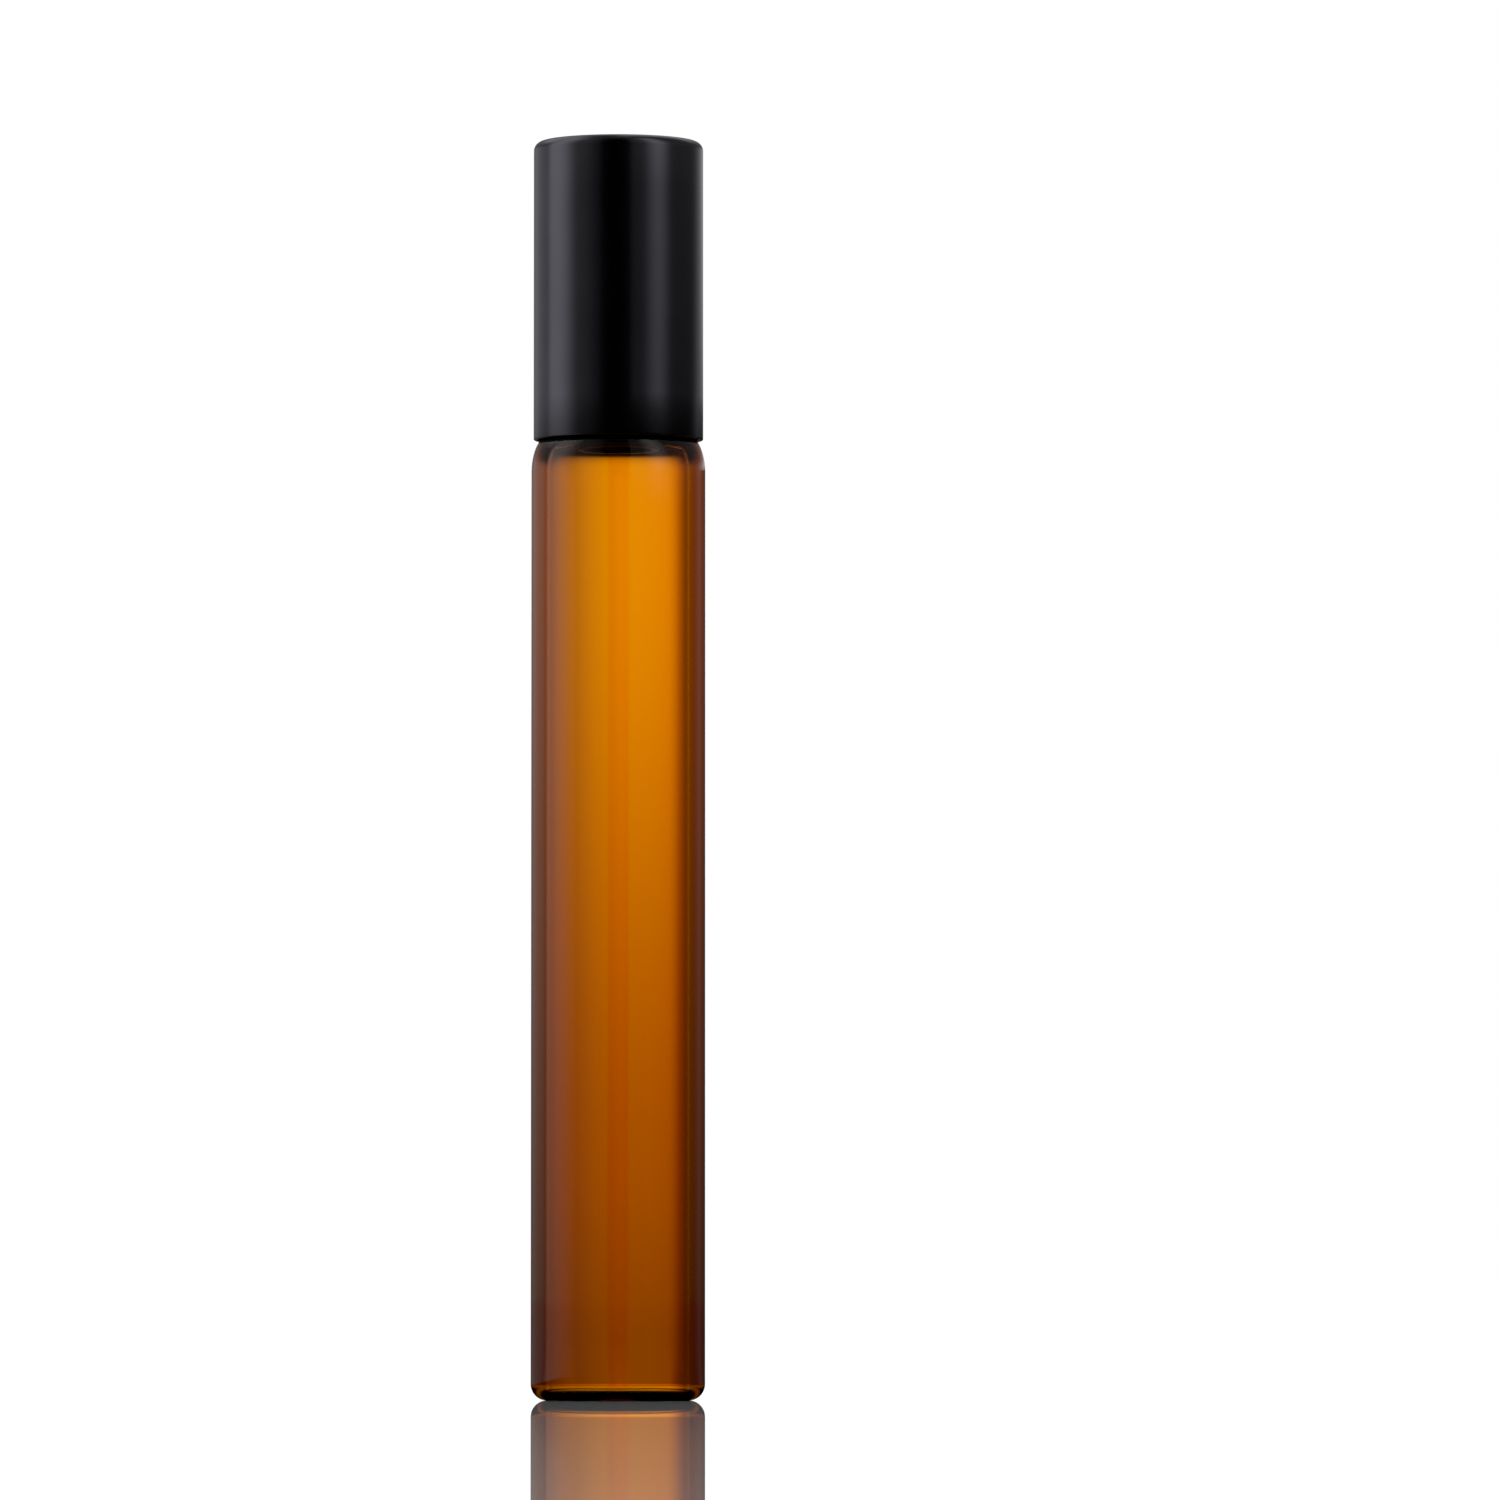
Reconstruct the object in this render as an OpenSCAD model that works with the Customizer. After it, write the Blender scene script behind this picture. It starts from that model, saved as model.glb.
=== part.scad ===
// Roll-on bottle: a slim glass vial with a threaded neck, a roller housing plugged into the
// neck, a steel ball, and a tall metal cap over a threaded plastic liner with a soft seal disc.
// Millimetres, +Z up. The origin is the middle of the plane that the bottle stands on.

/* [Glass barrel] */
// Outside diameter of the barrel
barrel_d = 16.5; // [15.8:0.1:18]
// Thickness of the glass in the barrel's wall
barrel_wall = 1.4; // [1:0.1:1.8]
// Height at which the straight barrel ends and the shoulder begins
barrel_h = 88; // [50:1:110]
// Radius of the rounded edge round the base
base_edge_r = 1.55; // [1:0.05:2]
// Diameter of the hollow under the base
push_up_d = 9; // [6:0.1:11]
// Depth of the hollow under the base
push_up_h = 0.2; // [0.1:0.05:0.5]
// Thickness of the glass over the middle of the base
base_t = 0.95; // [0.9:0.05:2]
// Radius of the corner between the wall and the base, inside
base_inner_r = 1; // [0.6:0.1:2]

/* [Shoulder and neck] */
// Height of the shoulder's rounded crown
shoulder_h = 3.6; // [3.4:0.05:3.7]
// Width of the shoulder's rounded crown
shoulder_w = 1.8; // [1.7:0.05:2]
// Height of the flare's foot over the end of the barrel
flare_foot_h = 3.85; // [3.75:0.05:4]
// Height of the flare's top over the end of the barrel
flare_top_h = 5; // [4.7:0.05:5.2]
// How far the flare's foot stands out from the neck
flare_foot_out = 0.67; // [0.55:0.01:0.75]
// How far the flare's top stands out from the neck
flare_top_out = 0.32; // [0.2:0.01:0.45]
// Height of the small step from the flare to the neck
flare_step_h = 0.55; // [0.3:0.05:0.7]
// How far the neck's side lies in from the barrel's side
neck_inset = 2.65; // [2.4:0.05:2.9]
// Height of the rim over the end of the barrel
rim_h = 12.55; // [12.2:0.05:13.4]
// Radius of the rim's outer edge
rim_edge_r = 0.55; // [0.3:0.05:0.65]
// Bevel of the rim's inner edge
rim_bevel = 0.25; // [0.1:0.05:0.3]
// Thickness of the glass in the neck's wall
neck_wall = 1.3; // [1.1:0.05:1.5]
// How far the ceiling under the shoulder rises from its edge to the bore
ceiling_rise = 0.6; // [0.3:0.05:0.8]
// Radius of the bore's lower edge
bore_edge_r = 0.5; // [0.3:0.05:0.6]

/* [Screw thread] */
// Rise of the thread in one turn
thread_pitch = 2.1; // [2:0.05:2.3]
// How far the glass thread stands out from the neck
thread_h = 0.77; // [0.6:0.01:0.8]
// Width of the glass thread where it meets the neck
thread_w = 1.4; // [1.2:0.05:1.5]
// Height over the end of the barrel at which the glass thread's line passes turn angle 0
thread_line_h = 6.45; // [6.3:0.05:6.7]
// Turn angle at which the glass thread starts
thread_start = 110; // [90:5:150]
// Turn angle at which the glass thread ends
thread_end = 790; // [700:5:800]
// Turn angle over which a thread rises from the wall at either end
thread_run_out = 70; // [40:5:90]
// Gap at each side between the two threads where they are closest
thread_side_gap = 0.17; // [0.12:0.01:0.2]
// Gap between the liner's thread and the neck
thread_root_gap = 0.25; // [0.2:0.01:0.3]
// Gap between the glass thread and the liner's bore
thread_crest_gap = 0.23; // [0.15:0.01:0.3]
// Slope of the flanks of the liner's thread
liner_flank_angle = 25; // [15:1:30]
// Turn angle at which the liner's thread starts
liner_thread_start = 60; // [50:5:90]
// Turn angle at which the liner's thread ends
liner_thread_end = 640; // [500:5:660]

/* [Roller ball and housing] */
// How far the collar's side lies in from the neck's side
collar_inset = 0.35; // [0.2:0.05:0.5]
// Thickness of the collar beside the ball
collar_wall = 0.835; // [0.7:0.005:0.95]
// Gap all round the ball in its cup
ball_gap = 0.05; // [0.04:0.01:0.08]
// Height of the ball's middle over the rim
ball_rise = 3.45; // [3.4:0.05:3.8]
// Height of the collar's lip over the ball's middle
lip_h = 1.6; // [1.3:0.05:1.8]
// Radius of the collar's upper edge
collar_edge_r = 0.6; // [0.3:0.05:0.65]
// Height of the groove between the collar and the rim
seat_groove_h = 0.25; // [0.15:0.05:0.4]
// Depth of the groove between the collar and the rim
seat_groove_w = 0.3; // [0.15:0.05:0.35]
// Length of the plug below the rim
plug_len = 10.35; // [9.8:0.05:11]
// Gap between the plug and the neck's bore
plug_gap = 0.1; // [0.05:0.01:0.15]
// How far a sealing bead bites into the neck's bore
bead_bite = 0.06; // [0.03:0.01:0.09]
// Height of one sealing bead
bead_h = 1; // [0.8:0.1:1.2]
// Distance from one sealing bead to the next
bead_step = 2; // [1.6:0.1:2.2]
// Number of sealing beads
bead_count = 3; // [1:1:3]
// Depth of the first sealing bead below the rim
bead_depth = 1.6; // [1.3:0.1:2]
// Thickness of the plug's wall
plug_wall = 0.9; // [0.7:0.05:1.2]
// Height of the bevel at the plug's lower end
plug_bevel_h = 0.9; // [0.5:0.1:1.2]
// Width of the bevel at the plug's lower end
plug_bevel_w = 0.4; // [0.2:0.05:0.5]
// Thickness of the cup's floor under the ball
cup_floor_t = 1; // [0.8:0.1:1.3]
// Width of the feed hole in the cup's floor, as a share of the plug's bore
feed_share = 0.6; // [0.4:0.05:0.65]
// Distance across a pair of the feed slots, as a share of the plug's bore
feed_slot_share = 0.85; // [0.7:0.05:0.9]
// Width of a feed slot
feed_slot_w = 0.9; // [0.6:0.05:1.2]

/* [Seal disc] */
// How far the disc's edge lies in from the collar's side
disc_inset = 0.85; // [0.7:0.05:1.2]
// Thickness of the disc at its edge
disc_t = 1.7; // [1.4:0.1:2.2]
// How far the disc reaches down round the top of the ball
disc_wrap = 0.77; // [0.5:0.01:0.9]
// Gap between the disc and the ball
seal_gap = 0.1; // [0.05:0.01:0.15]
// Gap round the disc in its pocket
disc_gap = 0.1; // [0.05:0.01:0.15]
// Height of the lip that keeps the disc in its pocket
disc_lip_h = 0.6; // [0.4:0.05:0.8]
// How far that lip reaches under the disc
disc_lip_w = 0.25; // [0.15:0.05:0.4]

/* [Cap] */
// Height of the cap's shell
cap_h = 28.45; // [25:0.05:34]
// Thickness of the shell's metal
cap_wall = 0.4; // [0.3:0.05:0.5]
// How far the shell's side lies in from the barrel's side
cap_inset = 0.2; // [0:0.05:0.3]
// Height of the shell's foot over the end of the barrel
cap_foot_h = 3.05; // [3:0.05:3.4]
// Radius of the shell's upper edge
cap_edge_r = 0.9; // [0.6:0.05:1.5]
// Depth of the liner's foot inside the shell's foot
liner_recess = 0.7; // [0.6:0.05:1.2]
// Height of the ribs that grip the shell
grip_rib_h = 0.2; // [0.15:0.01:0.3]
// How far a grip rib bites into the shell
grip_bite = 0.04; // [0.02:0.01:0.06]
// Number of grip ribs
grip_rib_count = 24; // [12:6:36]
// Gap between the liner's upper bore and the collar
collar_gap = 0.75; // [0.4:0.05:0.9]
// Depth below the rim at which the liner's bore starts to narrow
bore_step_depth = 0.9; // [0.5:0.1:1.1]
// Bevel at the liner's mouth
mouth_bevel = 0.3; // [0.1:0.05:0.4]
// Thickness of the web over the disc
web_t = 1; // [0.8:0.1:1.6]
// Gap between the liner's top and the shell's top
liner_top_gap = 0.1; // [0.05:0.05:0.5]
// Thickness of the liner's wall over the web
liner_wall = 1.2; // [0.8:0.1:1.6]
// Diameter of the hub over the web
hub_d = 4.4; // [3:0.1:5]
// Number of radial ribs over the web
web_rib_count = 6; // [4:1:8]
// Turn angle that one radial rib fills
web_rib_angle = 14; // [8:1:20]

/* [Hidden] */
$fn = 72;

// How far a cut runs past the face that it opens
overrun = 0.5;
// How deep a thread's root is set into the wall that carries it
thread_sink = 0.3;
// How deep a thread's flanks reach into that wall
thread_foot = 0.15;
// How deep a thread's crest starts and ends inside that wall
thread_dip = 0.1;
// Points in each quarter of a round stretch of an outline
arc_steps = 8;
// Turn angle between two outlines of a thread
thread_step = 10;
// Where the shoulder's crown passes into the hollow curve over it, as an angle of the crown
crown_end_angle = 70;
// Where the glass under the crown stops following it, as an angle of the crown
ceiling_angle = 62;
// Where that hollow curve's handle lies, as shares of its way in and of its way up
hollow_in_share = 0.74;
hollow_up_share = 0.38;
// The small step over the flare, as shares of its way in and of its way up
step_shares = [[0.12, 0.25], [0.5, 0.62], [0.88, 0.85]];
// Steps in the glass thread's rounded outline
thread_arc_steps = 8;

barrel_r = barrel_d / 2;
inside_r = barrel_r - barrel_wall;
inside_floor_z = push_up_h + base_t;
neck_r = barrel_r - neck_inset;
bore_r = neck_r - neck_wall;
rim_z = barrel_h + rim_h;
neck_foot_z = barrel_h + flare_top_h + flare_step_h;

thread_line_z = barrel_h + thread_line_h;
thread_crest_r = neck_r + thread_h;
liner_bore_r = thread_crest_r + thread_crest_gap;
liner_ridge_h = liner_bore_r - neck_r - thread_root_gap;
liner_crest_w = thread_pitch - thread_w - 2 * thread_side_gap;
liner_root_w = liner_crest_w + 2 * liner_ridge_h * tan(liner_flank_angle);

collar_r = neck_r - collar_inset;
cup_r = collar_r - collar_wall;
ball_r = cup_r - ball_gap;
ball_z = rim_z + ball_rise;
collar_top_z = ball_z + lip_h;
plug_r = bore_r - plug_gap;
plug_foot_z = rim_z - plug_len;
plug_bore_r = plug_r - plug_wall;
feed_r = plug_bore_r * feed_share;
feed_slot_len = 2 * plug_bore_r * feed_slot_share;
cup_floor_z = ball_z - cup_r - cup_floor_t;

disc_r = collar_r - disc_inset;
disc_z = ball_z + ball_r - disc_wrap;
disc_top_z = disc_z + disc_t;
pocket_r = disc_r + disc_gap;
pocket_z = disc_z - disc_gap;
pocket_top_z = disc_top_z + disc_gap;
disc_lip_z = pocket_z - disc_lip_h;

cap_r = barrel_r - cap_inset;
cap_inner_r = cap_r - cap_wall;
cap_z = barrel_h + cap_foot_h;
cap_top_z = cap_z + cap_h;
cap_ceiling_z = cap_top_z - cap_wall;
liner_r = cap_inner_r - grip_rib_h;
liner_z = cap_z + liner_recess;
liner_top_z = cap_ceiling_z - liner_top_gap;
upper_bore_r = collar_r + collar_gap;
web_top_z = pocket_top_z + web_t;

// Points of a round stretch about [r, z], from one angle to another
function arc(r, z, radius, from, to) =
    [for (i = [0:arc_steps])
        let (a = from + (to - from) * i / arc_steps)
        [r + radius * cos(a), z + radius * sin(a)]];

// Points of a curve that leaves and meets two straight stretches, with a handle between them
function curve(start, handle, end) =
    [for (i = [1:arc_steps])
        let (t = i / arc_steps)
        start * pow(1 - t, 2) + handle * 2 * t * (1 - t) + end * pow(t, 2)];

// Share of its full height that a thread has at one turn angle
function thread_share(a, start, end) =
    sin(90 * min(1, (a - start) / thread_run_out, (end - a) / thread_run_out));

// A thread's outline at one turn angle. Its points are [height over the wall, height along the
// axis], and way is 1 for a thread that stands outwards and -1 for one that stands inwards.
function thread_ring(outline, wall_r, way, a, share, line_z) =
    let (
        z = line_z + thread_pitch * a / 360,
        root_r = wall_r - way * thread_sink,
        low = outline[0][1],
        high = outline[len(outline) - 1][1],
        ridge = [for (p = outline) [wall_r + way * ((p[0] + thread_dip) * share - thread_dip), p[1]]],
        ring = concat([[root_r, low]], ridge, [[root_r, high]])
    )
    [for (p = ring) [p[0] * cos(a), p[0] * sin(a), z + p[1]]];

// A right-handed thread, swept step by step and closed by its first and last outline
module thread(outline, wall_r, way, start, end, line_z) {
    steps = ceil((end - start) / thread_step);
    count = len(outline) + 2;
    rings = [for (i = [0:steps])
        let (a = start + (end - start) * i / steps)
        thread_ring(outline, wall_r, way, a, thread_share(a, start, end), line_z)];
    sides = [for (i = [0:steps - 1], j = [0:count - 1])
        let (
            here = i * count + j,
            beside = i * count + (j + 1) % count
        )
        each way > 0
            ? [[here, beside, here + count], [beside, beside + count, here + count]]
            : [[here, here + count, beside], [beside, here + count, beside + count]]];
    first = [for (j = [0:count - 1]) j];
    last = [for (j = [0:count - 1]) steps * count + count - 1 - j];
    back_first = [for (j = [0:count - 1]) count - 1 - j];
    back_last = [for (j = [0:count - 1]) steps * count + j];
    ends = way > 0 ? [back_first, back_last] : [first, last];
    polyhedron(points = [for (ring = rings) each ring], faces = concat(sides, ends));
}

// The hollow under the base, the rounded base edge and the straight barrel
function barrel_outline() = concat(
    [for (i = [0:arc_steps])
        let (share = i / arc_steps)
        [push_up_d / 2 * share, push_up_h * (1 - pow(share, 2))]],
    arc(barrel_r - base_edge_r, base_edge_r, base_edge_r, -90, 0)
);

// A point of the shoulder's crown at an angle of it, or one that lies inside it by a wall
function crown_point(a, wall) =
    let (lean = atan2(shoulder_w * sin(a), shoulder_h * cos(a)))
    [
        barrel_r - shoulder_w * (1 - cos(a)) - wall * cos(lean),
        barrel_h + shoulder_h * sin(a) - wall * sin(lean)
    ];

// The shoulder's crown, the hollow curve over it, the flare and the step up to the neck
function shoulder_outline() =
    let (
        crown = [for (i = [0:arc_steps]) crown_point(crown_end_angle * i / arc_steps, 0)],
        crown_end = crown[arc_steps],
        flare_foot = [neck_r + flare_foot_out, barrel_h + flare_foot_h],
        flare_top = [neck_r + flare_top_out, barrel_h + flare_top_h],
        way = flare_foot - crown_end,
        handle = crown_end + [way[0] * hollow_in_share, way[1] * hollow_up_share]
    )
    concat(
        crown,
        curve(crown_end, handle, flare_foot),
        [flare_top],
        [for (s = step_shares) flare_top + [-flare_top_out * s[0], flare_step_h * s[1]]],
        [[neck_r, neck_foot_z]]
    );

// The rim, the bore through the neck, the ceiling under the shoulder and the barrel's inside
function inside_outline() =
    let (
        ceiling = [for (i = [arc_steps:-1:0])
            crown_point(ceiling_angle * i / arc_steps, barrel_wall)],
        bore_foot_z = ceiling[0][1] + ceiling_rise + bore_edge_r
    )
    concat(
        arc(neck_r - rim_edge_r, rim_z - rim_edge_r, rim_edge_r, 0, 90),
        [[bore_r + rim_bevel, rim_z], [bore_r, rim_z - rim_bevel]],
        arc(bore_r + bore_edge_r, bore_foot_z, bore_edge_r, 180, 250),
        ceiling,
        arc(inside_r - base_inner_r, inside_floor_z + base_inner_r, base_inner_r, 0, -90),
        [[0, inside_floor_z]]
    );

// Rounded outline of the glass thread, from the foot of its lower flank to that of its upper one
function glass_thread_outline() =
    let (foot_angle = asin(thread_foot / thread_h))
    [for (i = [0:thread_arc_steps])
        let (a = -foot_angle + (180 + 2 * foot_angle) * i / thread_arc_steps)
        [thread_h * sin(a), -thread_w / 2 * cos(a)]];

// Straight-sided outline of the liner's thread
function liner_thread_outline() =
    let (foot_w = liner_root_w + 2 * thread_foot * tan(liner_flank_angle))
    [
        [-thread_foot, -foot_w / 2],
        [liner_ridge_h, -liner_crest_w / 2],
        [liner_ridge_h, liner_crest_w / 2],
        [-thread_foot, foot_w / 2]
    ];

module glass_bottle() {
    color("#8a4a08") union() {
        rotate_extrude() polygon(concat(barrel_outline(), shoulder_outline(), inside_outline()));
        thread(glass_thread_outline(), neck_r, 1, thread_start, thread_end, thread_line_z);
    }
}

// Half of the housing's section: the plug with its bevel, the seat on the rim and the collar
module housing_section() {
    polygon(concat(
        [
            [0, plug_foot_z],
            [plug_r - plug_bevel_w, plug_foot_z],
            [plug_r, plug_foot_z + plug_bevel_h],
            [plug_r, rim_z],
            [collar_r - seat_groove_w, rim_z],
            [collar_r - seat_groove_w, rim_z + seat_groove_h],
            [collar_r, rim_z + seat_groove_h]
        ],
        arc(collar_r - collar_edge_r, collar_top_z - collar_edge_r, collar_edge_r, 0, 90),
        [[0, collar_top_z]]
    ));
}

// Half of the section of one sealing bead, rounded where it meets the bore
module bead_section(z) {
    bead_out = plug_gap + bead_bite;
    polygon(concat(
        [[plug_bore_r + plug_wall / 2, z - bead_h / 2]],
        [for (i = [0:arc_steps])
            let (a = -90 + 180 * i / arc_steps)
            [plug_r + bead_out * cos(a), z + bead_h / 2 * sin(a)]],
        [[plug_bore_r + plug_wall / 2, z + bead_h / 2]]
    ));
}

module roller_housing() {
    color("#1a1a1b") difference() {
        rotate_extrude() union() {
            housing_section();
            for (i = [0:bead_count - 1]) bead_section(rim_z - bead_depth - bead_step * i);
        }
        translate([0, 0, ball_z]) sphere(r = cup_r);
        translate([0, 0, plug_foot_z - overrun])
            cylinder(r = plug_bore_r, h = cup_floor_z - plug_foot_z + overrun);
        translate([0, 0, cup_floor_z - overrun])
            cylinder(r = feed_r, h = ball_z - cup_floor_z);
        for (a = [0, 90])
            rotate([0, 0, a])
                translate([-feed_slot_len / 2, -feed_slot_w / 2, cup_floor_z - overrun])
                    cube([feed_slot_len, feed_slot_w, ball_z - cup_floor_z]);
    }
}

module roller_ball() {
    color("#c9cbcd") translate([0, 0, ball_z]) sphere(r = ball_r);
}

module seal_disc() {
    color("#e9e7e0") difference() {
        translate([0, 0, disc_z]) cylinder(r = disc_r, h = disc_t);
        translate([0, 0, ball_z]) sphere(r = ball_r + seal_gap);
    }
}

// Half of the section of the space inside the liner, from its mouth to the disc's pocket
module liner_space_section() {
    polygon([
        [0, liner_z - overrun],
        [liner_bore_r + mouth_bevel, liner_z - overrun],
        [liner_bore_r + mouth_bevel, liner_z],
        [liner_bore_r, liner_z + mouth_bevel],
        [liner_bore_r, rim_z - bore_step_depth],
        [upper_bore_r, rim_z - bore_step_depth + liner_bore_r - upper_bore_r],
        [upper_bore_r, disc_lip_z],
        [disc_r - disc_lip_w, disc_lip_z],
        [disc_r - disc_lip_w, pocket_z],
        [pocket_r, pocket_z],
        [pocket_r, pocket_top_z],
        [0, pocket_top_z]
    ]);
}

module cap_liner() {
    rib_turn = 360 / web_rib_count;
    color("#26272a") union() {
        difference() {
            translate([0, 0, liner_z]) linear_extrude(height = liner_top_z - liner_z) union() {
                circle(r = liner_r);
                for (i = [0:grip_rib_count - 1])
                    rotate(360 * i / grip_rib_count)
                        translate([liner_r, 0]) circle(r = grip_rib_h + grip_bite);
            }
            rotate_extrude() liner_space_section();
            for (i = [0:web_rib_count - 1])
                rotate([0, 0, rib_turn * i])
                    translate([0, 0, web_top_z])
                        rotate_extrude(angle = rib_turn - web_rib_angle)
                            translate([hub_d / 2, 0])
                                square([liner_r - liner_wall - hub_d / 2, liner_top_z - web_top_z + overrun]);
        }
        thread(liner_thread_outline(), liner_bore_r, -1, liner_thread_start, liner_thread_end,
            thread_line_z - thread_pitch / 2);
    }
}

module cap_shell() {
    inner_edge_r = cap_edge_r - cap_wall;
    color("#111112") rotate_extrude() polygon(concat(
        [[cap_inner_r, cap_z], [cap_r, cap_z]],
        arc(cap_r - cap_edge_r, cap_top_z - cap_edge_r, cap_edge_r, 0, 90),
        [[0, cap_top_z], [0, cap_ceiling_z]],
        arc(cap_r - cap_edge_r, cap_top_z - cap_edge_r, inner_edge_r, 90, 0)
    ));
}

glass_bottle();
roller_housing();
roller_ball();
seal_disc();
cap_liner();
cap_shell();
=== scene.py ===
"""Roll-on bottle: an amber glass vial with a roller fitment, a steel ball and a tall black cap.

Every piece is made in metres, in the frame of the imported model, +Z up, and stands for one
node of it. The outlines are (radius, height) points that are turned round the Z axis.
"""

import math

import bmesh
import bpy
from bpy.props import FloatProperty, FloatVectorProperty, IntProperty, PointerProperty
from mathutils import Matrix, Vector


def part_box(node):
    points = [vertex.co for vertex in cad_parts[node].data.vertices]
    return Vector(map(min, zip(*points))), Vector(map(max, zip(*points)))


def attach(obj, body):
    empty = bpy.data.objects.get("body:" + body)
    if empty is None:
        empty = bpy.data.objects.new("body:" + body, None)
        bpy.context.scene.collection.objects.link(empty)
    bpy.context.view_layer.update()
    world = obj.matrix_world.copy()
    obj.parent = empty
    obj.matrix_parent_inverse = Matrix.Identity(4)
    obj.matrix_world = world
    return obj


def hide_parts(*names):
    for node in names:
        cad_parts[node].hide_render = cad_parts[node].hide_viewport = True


bl_info = {
    "name": "Roll-on bottle",
    "version": (1, 0, 0),
    "blender": (4, 5, 0),
    "location": "View3D > Sidebar > Roll-on bottle",
    "description": "Builds an amber glass roll-on bottle, piece by piece, with its stage",
    "category": "Object",
}

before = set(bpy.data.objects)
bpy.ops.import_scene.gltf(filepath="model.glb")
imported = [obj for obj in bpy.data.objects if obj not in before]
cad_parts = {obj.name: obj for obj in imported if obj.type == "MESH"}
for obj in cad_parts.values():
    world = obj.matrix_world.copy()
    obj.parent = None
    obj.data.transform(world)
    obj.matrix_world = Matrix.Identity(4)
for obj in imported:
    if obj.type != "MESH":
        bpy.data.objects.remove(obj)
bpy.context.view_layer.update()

MM = 0.001
FULL_TURN = 2 * math.pi
DEGREES = 180 / math.pi  # in one radian
SAME_POINT = 1e-7  # metres, within which two points are one
PLAIN_ROW = 4 * MM  # from one row of points to the next on a plain wall
THREAD_ROW = 0.06 * MM  # and on a wall that carries a thread
ON_WALL = 0.005 * MM  # within which a point belongs to that wall
CREST_POWER = 1.4  # over 1, it rounds a thread's crest
QUARTER = 90  # degrees
# WARM and BLACK also tint the floor's painted glow and painted reflection.
WHITE, WARM, BLACK = (1, 1, 1), (1.0, 0.42, 0.25), (0, 0, 0)  # tints of the studio's light
BACKDROP = 1.03  # brightness of the white that matt surfaces see
IN_WALL = 0.2  # brightness of what the glass mirrors inside its own wall
BOTH_WALLS = 3.5  # light that comes through both walls has passed four surfaces

vial_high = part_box("glass_bottle")[1]
housing_low, housing_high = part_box("roller_housing")
ball_low, ball_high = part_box("roller_ball")
disc_low, disc_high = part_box("seal_disc")
liner_low, liner_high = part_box("cap_liner")
shell_low, shell_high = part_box("cap_shell")


def length(name, description, default):
    """A property that holds a length in metres."""
    return FloatProperty(
        name=name, description=description, default=default, min=0, precision=5,
        subtype="DISTANCE", unit="LENGTH",
    )


def turn_angle(name, description, degrees):
    """A property that holds a turn angle, which may be more than one turn."""
    return FloatProperty(
        name=name, description=description, default=math.radians(degrees),
        subtype="ANGLE", unit="ROTATION",
    )


def finish_colour(name, description, default):
    """A property that holds a colour."""
    return FloatVectorProperty(
        name=name, description=description, default=default, size=3, min=0, max=1,
        subtype="COLOR",
    )


class VialSettings(bpy.types.PropertyGroup):
    """Sizes and colour of the glass vial."""

    barrel_radius: length("Barrel radius", "Outside radius of the barrel", vial_high.x)
    barrel_height: length("Barrel height", "Where the straight barrel ends", 88 * MM)
    barrel_wall: length("Barrel wall", "Thickness of the glass in the barrel", 1.4 * MM)
    base_edge: length("Base edge", "Radius of the edge round the base", 1.55 * MM)
    push_up_radius: length("Push-up radius", "Radius of the hollow under the base", 4.5 * MM)
    push_up_height: length("Push-up height", "Depth of the hollow under the base", 0.2 * MM)
    floor_sag: length("Floor sag", "Dip in the middle of the floor inside", 0.15 * MM)
    base_thickness: length("Base thickness", "Glass over the middle of the base", 0.8 * MM)
    base_corner: length("Base corner", "Radius of the corner inside the base", 0.4 * MM)
    shoulder_height: length("Shoulder height", "Height of the shoulder's crown", 3.6 * MM)
    shoulder_width: length("Shoulder width", "Width of the shoulder's crown", 1.8 * MM)
    ceiling_rise: length("Ceiling rise", "Rise of the ceiling under the shoulder", 0.6 * MM)
    bore_edge: length("Bore edge", "Radius of the bore's lower edge", 0.5 * MM)
    neck_radius: length("Neck radius", "Outside radius of the neck", 5.6 * MM)
    neck_bore: length("Neck bore", "Radius of the bore in the neck", 4.3 * MM)
    flare_foot_out: length("Flare foot out", "Flare's foot outside the neck", 0.67 * MM)
    flare_foot_rise: length("Flare foot rise", "Flare's foot over the barrel", 3.85 * MM)
    flare_top_out: length("Flare top out", "Flare's top outside the neck", 0.32 * MM)
    flare_top_rise: length("Flare top rise", "Flare's top over the barrel", 5 * MM)
    neck_rise: length("Neck rise", "The neck's foot over the barrel", 5.55 * MM)
    rim_edge: length("Rim edge", "Radius of the rim's outer edge", 0.55 * MM)
    mouth_edge: length("Mouth edge", "Radius of the rim's inner edge", 0.25 * MM)
    rim_height: length("Rim height", "Where the rim ends", vial_high.z)
    thread_pitch: length("Thread pitch", "Rise of the thread in one turn", 2.1 * MM)
    thread_height: length("Thread height", "How far the thread stands out", 0.77 * MM)
    thread_foot: length("Thread foot", "Width of the thread at the neck", 1.45 * MM)
    thread_crest: length("Thread crest", "Width of the thread's crest", 0.2 * MM)
    thread_line: length("Thread line", "Where the thread passes turn angle 0", 94.45 * MM)
    thread_start: turn_angle("Thread start", "Where the thread begins", 110)
    thread_end: turn_angle("Thread end", "Where the thread ends", 790)
    thread_run_out: turn_angle("Thread run-out", "Over which the thread rises", 70)
    glass: finish_colour("Glass", "Colour that the glass lets through", (0.986, 0.85, 0.0))
    absorption: FloatProperty(
        name="Absorption", description="How strongly the glass absorbs, per metre",
        default=2900, min=0, max=9000)


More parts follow.
